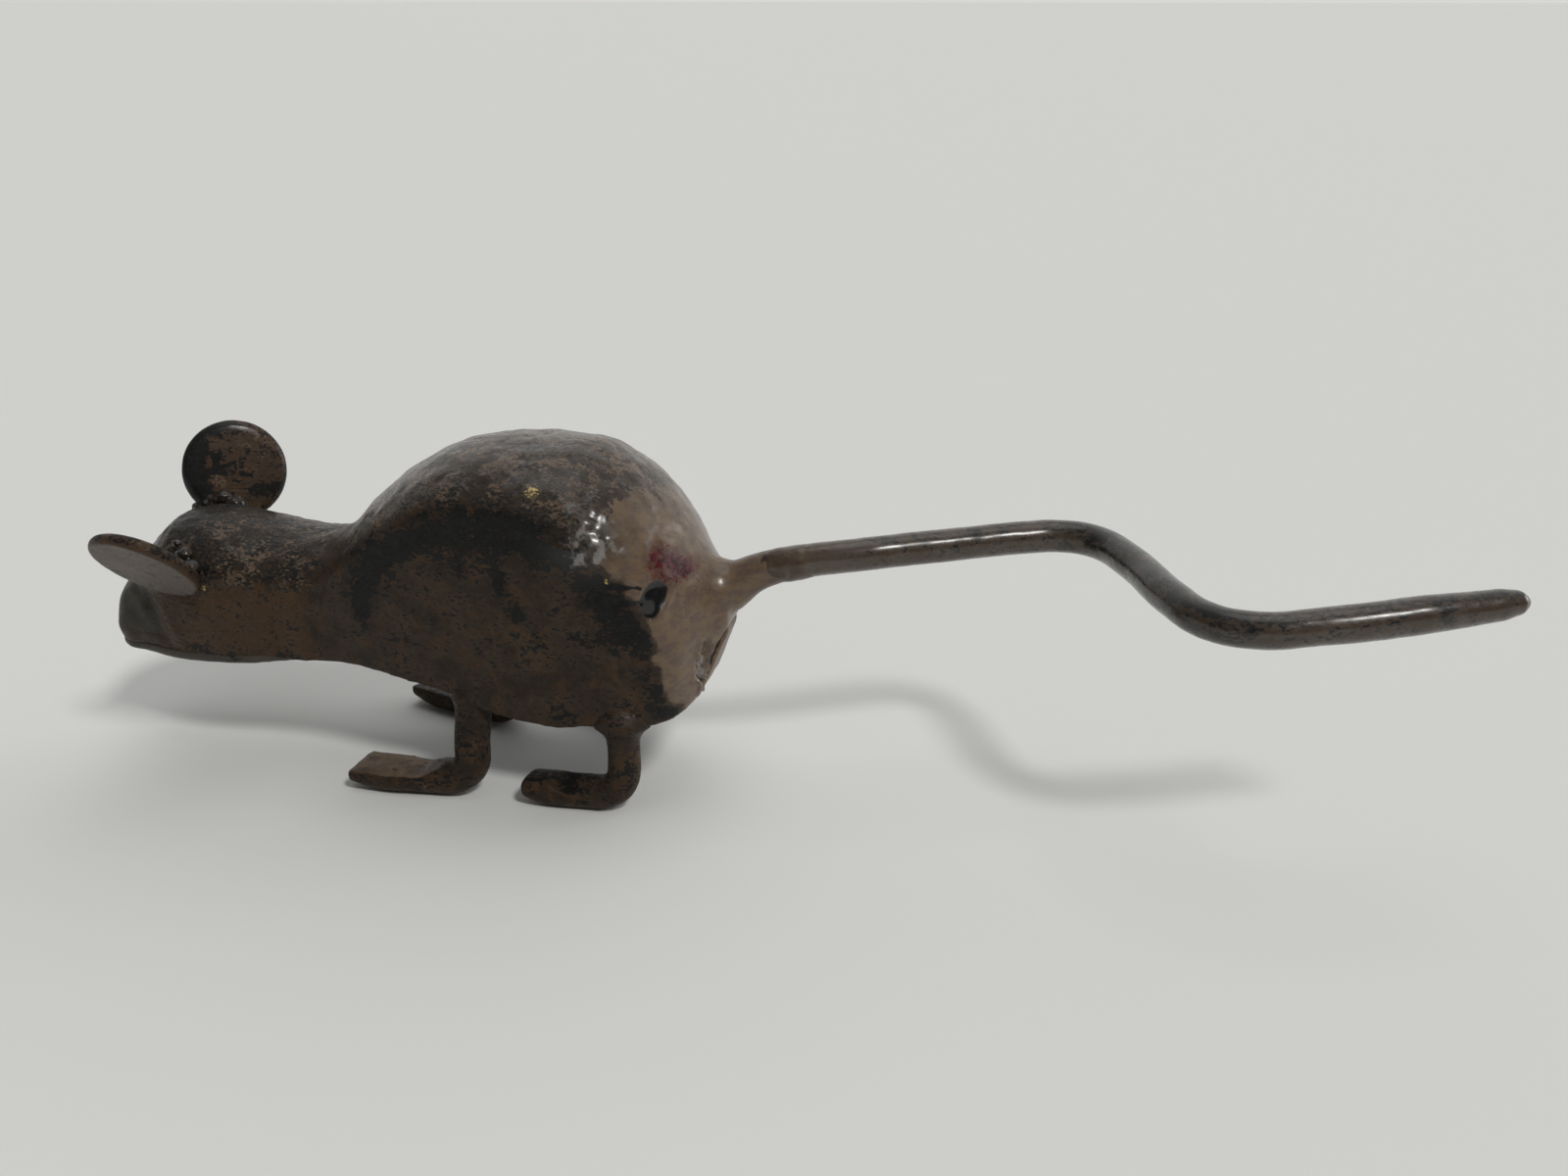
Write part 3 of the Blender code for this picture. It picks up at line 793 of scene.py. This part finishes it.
def make_leg_weld(name, x, y, lean, radius):
    """Weld run round the top of a leg: a hollow flare, uneven and painted over."""
    top = row_at(x)[0] + 0.35
    side = math.copysign(1.0, y)
    flare = FLARES[name]
    bm = bmesh.new()
    widest = radius + 0.05 + flare
    profile = [(0.5, top + 0.9 * widest)]
    for i in range(1, 7):
        a = 0.5 * math.pi * i / 6
        profile.append((max(widest * math.sin(a), 0.6), top - 0.1 + 0.9 * widest * math.cos(a)))
    for i in range(1, 9):
        t = i / 8
        profile.append((radius - 0.03 + (flare + 0.08) * (1 - t) ** 2.2, top - 0.1 - (1.2 + flare) * t))
    profile += [(radius - 0.4, top - 1.6 - flare), (0.5, top - 1.6 - flare)]
    verts = [bm.verts.new((r, 0, z)) for r, z in profile]
    edges = [bm.edges.new((verts[i], verts[(i + 1) % len(verts)])) for i in range(len(verts))]
    bmesh.ops.spin(bm, geom=verts + edges, cent=(0, 0, 0), axis=(0, 0, 1), dvec=(0, 0, 0),
                   angle=2 * math.pi, steps=56, use_merge=True, use_duplicate=False)
    bmesh.ops.translate(bm, verts=bm.verts, vec=(x, y - side * lean, 0))
    bmesh.ops.recalc_face_normals(bm, faces=bm.faces)
    bmesh.ops.subdivide_edges(bm, edges=bm.edges, cuts=1, use_grid_fill=True)
    soften(bm, bm.verts, 2)
    emboss(bm, lambda p, n: 0.10 * grain(p, 1.9, x) + 0.04 * grain(p, 0.8, y))
    values = plain_values(bm, lambda p, n: 0.1, grey=0.25)
    add_piece(name + "_weld_bead", bm, weld_paint, [name + "_weld"], values)


def make_tail():
    """The bent rod, its radius changing along it."""
    curve = bpy.data.curves.new("tail", "CURVE")
    curve.dimensions = "3D"
    curve.bevel_depth = 1.0
    curve.bevel_resolution = 8
    curve.resolution_u = 14
    curve.use_fill_caps = True
    spline = curve.splines.new("BEZIER")
    spline.bezier_points.add(len(TAIL) - 1)
    for point, (x, y, z, radius) in zip(spline.bezier_points, TAIL):
        point.co = (x, y, z)
        point.radius = radius
        point.handle_left_type = point.handle_right_type = "AUTO"
    holder = bpy.data.objects.new("tail", curve)
    bpy.context.scene.collection.objects.link(holder)
    graph = bpy.context.evaluated_depsgraph_get()
    mesh = bpy.data.meshes.new_from_object(holder.evaluated_get(graph))
    bpy.data.objects.remove(holder)
    bm = bmesh.new()
    bm.from_mesh(mesh)
    bmesh.ops.remove_doubles(bm, verts=bm.verts, dist=0.001)
    bmesh.ops.recalc_face_normals(bm, faces=bm.faces)
    bm = remeshed(bm, "tail", TAIL_GRAIN)
    soften(bm, bm.verts, 2)
    emboss(bm, lambda p, n: 0.04 * grain(p, 4.0, 1.0) + 0.025 * grain(p, 1.5, 2.0))
    values = plain_values(
        bm, tail_wear, shine=1.0, tan=lambda p, n: 0.42 * smoothstep(18, 6, p.x), grey=0.3,
        clean=lambda p, n: 0.8 * smoothstep(15, 7, p.x),
    )
    add_piece("tail", bm, tail_paint, ["tail_rod"], values)


def tail_wear(p, n):
    """Black shows at the bends, on top and at the tip, and not on the newer paint by the rump."""
    bend = blob((p[0],), (36.5,), (4.5,)) + blob((p[0],), (45.5,), (5.0,))
    tip = smoothstep(60, 66, p[0])
    root = smoothstep(15, 7, p[0])
    worn = 0.12 + 0.42 * min(bend, 1) + 0.28 * smoothstep(0.35, 0.95, n.z) + 0.1 * tip
    return worn * (1 - root) - 0.3 * root


def make_tail_weld():
    """A swelling of weld and paint on the tail, just outside the rump."""
    start, aim = Vector((5.2, 0.1, 26.15)), Vector((8.0, 0.5, 26.7))
    bm = bmesh.new()
    profile = [(TAIL_R - 0.6, -2.6)]
    for i in range(11):
        t = i / 10
        profile.append((TAIL_R - 0.10 + 0.22 * math.sin(math.pi * t), -2.4 + 5.2 * t))
    profile.append((TAIL_R - 0.6, 3.0))
    verts = [bm.verts.new((r, 0, z)) for r, z in profile]
    edges = [bm.edges.new((verts[i], verts[(i + 1) % len(verts)])) for i in range(len(verts))]
    bmesh.ops.spin(bm, geom=verts + edges, cent=(0, 0, 0), axis=(0, 0, 1), dvec=(0, 0, 0),
                   angle=2 * math.pi, steps=56, use_merge=True, use_duplicate=False)
    turn = (aim - start).to_track_quat("Z", "Y").to_matrix().to_4x4()
    bmesh.ops.transform(bm, matrix=Matrix.Translation(start) @ turn, verts=bm.verts)
    bmesh.ops.recalc_face_normals(bm, faces=bm.faces)
    bmesh.ops.subdivide_edges(bm, edges=bm.edges, cuts=1, use_grid_fill=True)
    soften(bm, bm.verts, 2)
    emboss(bm, lambda p, n: 0.07 * grain(p, 1.5, 3.0) + 0.03 * grain(p, 0.7, 4.0))
    values = plain_values(bm, tail_wear, shine=0.7, grey=0.3, tan=0.42, clean=0.8)
    add_piece("tail_weld_bead", bm, tail_paint, ["tail_weld"], values)


# Scratches on the right ear, from and to, in shares of its radius across and up its face.
EAR_SCRATCHES = (
    (-0.24, 0.42, -0.34, 0.02), (-0.36, 0.30, -0.40, 0.05),
    (-0.30, 0.05, 0.02, 0.16), (0.1, -0.1, 0.3, -0.14),
)
# Worn marks on it: middle and size across and up its face, in the same shares, and strength.
EAR_MARKS = (
    ((-0.35, 0.86), (0.5, 0.16), 0.8), ((0.6, -0.42), (0.30, 0.15), 0.8),
    ((-0.25, 0.0), (0.22, 0.10), 0.5), ((-0.6, -0.6), (0.3, 0.2), 0.5),
)
EAR_BACK = 0.62           # from the middle of an ear's edge to its flat face


def make_ear(name, centre, normal, radius, braze):
    """A disc cut from sheet, one face flat and the other a little domed, with a worn round rim."""
    bm = bmesh.new()
    profile = [
        (0.0, 1.12), (radius * 0.5, 1.08), (radius * 0.8, 0.98), (radius - 0.55, 0.84), (radius - 0.12, 0.5),
        (radius + 0.02, 0.1), (radius - 0.03, -0.3), (radius - 0.25, -EAR_BACK), (radius * 0.5, -EAR_BACK),
        (0.0, -EAR_BACK),
    ]
    verts = [bm.verts.new((r, 0, z)) for r, z in profile]
    edges = [bm.edges.new(pair) for pair in zip(verts, verts[1:])]
    bmesh.ops.spin(bm, geom=verts + edges, cent=(0, 0, 0), axis=(0, 0, 1), dvec=(0, 0, 0),
                   angle=2 * math.pi, steps=72, use_merge=True, use_duplicate=False)
    bmesh.ops.remove_doubles(bm, verts=bm.verts, dist=0.001)
    facing = Vector(normal) * (-1 if name == "left_ear" else 1)
    turn = facing.to_track_quat("Z", "Y").to_matrix().to_4x4()
    bmesh.ops.transform(bm, matrix=Matrix.Translation(centre) @ turn, verts=bm.verts)
    bmesh.ops.recalc_face_normals(bm, faces=bm.faces)
    bm = remeshed(bm, name, EAR_GRAIN)
    soften(bm, bm.verts, 2)
    emboss(bm, lambda p, n: 0.035 * grain(p, 3.0, radius) + 0.012 * grain(p, 1.0, 5.0))
    middle, axis = Vector(centre), facing.normalized()
    across = Vector((0, 0, 1)).cross(axis).normalized()
    up = axis.cross(across)

    def wear(p, n):
        u, v = (p - middle).dot(across) / radius, (p - middle).dot(up) / radius
        face = n.dot(axis)
        if name == "left_ear":
            return 0.05 + 0.47 * smoothstep(-0.6, 0.1, face)
        worn = 0.2 + 0.75 * smoothstep(-0.38, -0.62, u) + 0.35 * smoothstep(0.86, 0.99, math.hypot(u, v))
        worn += sum(much * blob((u, v), spot, size) for spot, size, much in EAR_MARKS)
        for u0, v0, u1, v1 in EAR_SCRATCHES:
            away = distance_to((u, v, 0), Vector((u0, v0, 0)), Vector((u1, v1, 0)))
            worn += 1.2 * math.exp(-((away / 0.03) ** 2))
        return worn

    values = plain_values(
        bm, wear, shine=0.3, warm=0.5, tan=lambda p, n: 0.35 * smoothstep(-0.8, 0.0, n.dot(axis)),
    )
    if name == "left_ear":
        for vert, row in zip(bm.verts, values):
            flat = smoothstep(-0.5, -0.9, vert.normal.dot(axis))
            row["grey"], row["clean"], row["shine"] = 0.36 * flat, flat, 0.16 * flat
    add_piece(name + "_disc", bm, ear_paint, [name], values)
    make_ear_braze(name, braze)


def make_ear_braze(name, lumps):
    """The run of braze that holds an ear to the head, its yellow metal showing through, with painted glints
    on its lumps.
    """
    bm = bmesh.new()
    for x, y, z, size in lumps:
        made = bmesh.ops.create_icosphere(bm, subdivisions=3, radius=size)
        bmesh.ops.scale(bm, vec=(1.15, 1.0, 0.8), verts=made["verts"])
        bmesh.ops.translate(bm, vec=(x, y, z), verts=made["verts"])
    bm = remeshed(bm, name + "_braze", BRAZE_GRAIN)
    soften(bm, bm.verts, 3)
    emboss(bm, lambda p, n: 0.20 * grain(p, 1.1, lumps[0][0]) + 0.06 * grain(p, 0.5, 1.0))
    # Pale spots of painted highlight on the braze's lumps.
    values = plain_values(bm, lambda p, n: 0.5, brass=0.36, shine=0.6, grey=0.3, flash=0.5)
    add_piece(name + "_braze", bm, weld_paint, [], values)


# ---------------------------------------------------------------- floor, camera and light

# Strength of the sky everywhere, more of it from above, and more from behind.
SKY_BASE, SKY_UP, SKY_BACK = 0.04, 0.18, 0.65
FLOOR_SIZE = 12.0
WARM_WHITE, WHITE = (1.0, 0.985, 0.96), (1.0, 0.995, 0.98)
CAMERA_PLACE = Vector((36.0, -142.5, 80.6))
CAMERA_DOWN, CAMERA_TURN = 21.4, 12.5   # degrees below level, and round from square on to the mouse's side


def make_floor():
    """A plain pale floor, reaching past the camera's sight on every side."""
    bm = bmesh.new()
    bmesh.ops.create_grid(bm, x_segments=2, y_segments=2, size=FLOOR_SIZE)
    mesh = mesh_of(bm, "floor")
    floor = bpy.data.objects.new("floor", mesh)
    bpy.context.scene.collection.objects.link(floor)
    material, _, shader = new_material("pale_floor")
    plug(shader, {"Base Color": (0.80, 0.81, 0.80, 1), "Roughness": 0.9, "Specular IOR Level": 0.1})
    mesh.materials.append(material)


def add_sun(name, towards, strength, angle, color):
    """A sun seen in one direction, its width in degrees: wider is softer."""
    light = bpy.data.lights.new(name, "SUN")
    light.energy = strength
    light.angle = math.radians(angle)
    light.color = color
    obj = bpy.data.objects.new(name, light)
    obj.rotation_euler = Vector(towards).to_track_quat("Z", "Y").to_euler()
    bpy.context.scene.collection.objects.link(obj)


def make_studio():
    """Soft light from above and behind, a firm sun from the front right, and softer suns from overhead
    and from the right rear."""
    make_floor()
    world = bpy.data.worlds.new("studio")
    world.use_nodes = True
    tree = world.node_tree
    sky = Wire(tree)
    towards = sky.node("ShaderNodeTexCoord", output=0)
    apart = sky.node("ShaderNodeSeparateXYZ", None, {0: towards})
    back = Wire(tree, apart.socket.node.outputs["Y"])
    up = Wire(tree, apart.socket.node.outputs["Z"])
    level = up.most(0.0) * SKY_UP + back.between(-0.1, 0.9) * SKY_BACK + SKY_BASE
    background = tree.nodes["Background"]
    background.inputs["Color"].default_value = (1.0, 0.99, 0.97, 1)
    tree.links.new(level.socket, background.inputs["Strength"])
    bpy.context.scene.world = world
    add_sun("key", (0.49, -0.46, 0.74), 1.26, 10, WARM_WHITE)
    add_sun("overhead", (0.02, 0.10, 1.0), 0.40, 40, WHITE)
    add_sun("side", (0.84, 0.50, 0.22), 0.40, 26, WHITE)


def make_camera():
    """A lens a little wider than normal, above the mouse's left side and nearer its tail."""
    camera = bpy.data.cameras.new("camera")
    camera.lens = 34.99
    camera.sensor_width = 36.0
    camera.clip_start = 0.005
    obj = bpy.data.objects.new("camera", camera)
    obj.location = TO_FRAME @ CAMERA_PLACE
    obj.rotation_euler = (math.radians(90 - CAMERA_DOWN), 0, math.radians(CAMERA_TURN))
    bpy.context.scene.collection.objects.link(obj)
    bpy.context.scene.camera = obj


# ---------------------------------------------------------------- the mouse

body_paint = worn_paint("body_paint")
belly_paint = worn_paint("belly_paint", (0.11, 0.094, 0.078, 1), GREY_BROWN)
leg_paint = worn_paint("leg_paint", roughness=0.4)
tail_paint = worn_paint("tail_paint", (0.088, 0.064, 0.050, 1), BROWN, roughness=0.33)
ear_paint = worn_paint("ear_paint", (0.075, 0.048, 0.037, 1), BROWN)
weld_paint = worn_paint("weld_paint", roughness=0.32)

make_body()
make_belly()
for leg in LEGS:
    make_leg(*leg)
    make_leg_weld(*leg[:5])
make_tail()
make_tail_weld()
for ear in EARS:
    make_ear(*ear)
make_studio()
make_camera()
bpy.context.scene.view_settings.view_transform = "Standard"
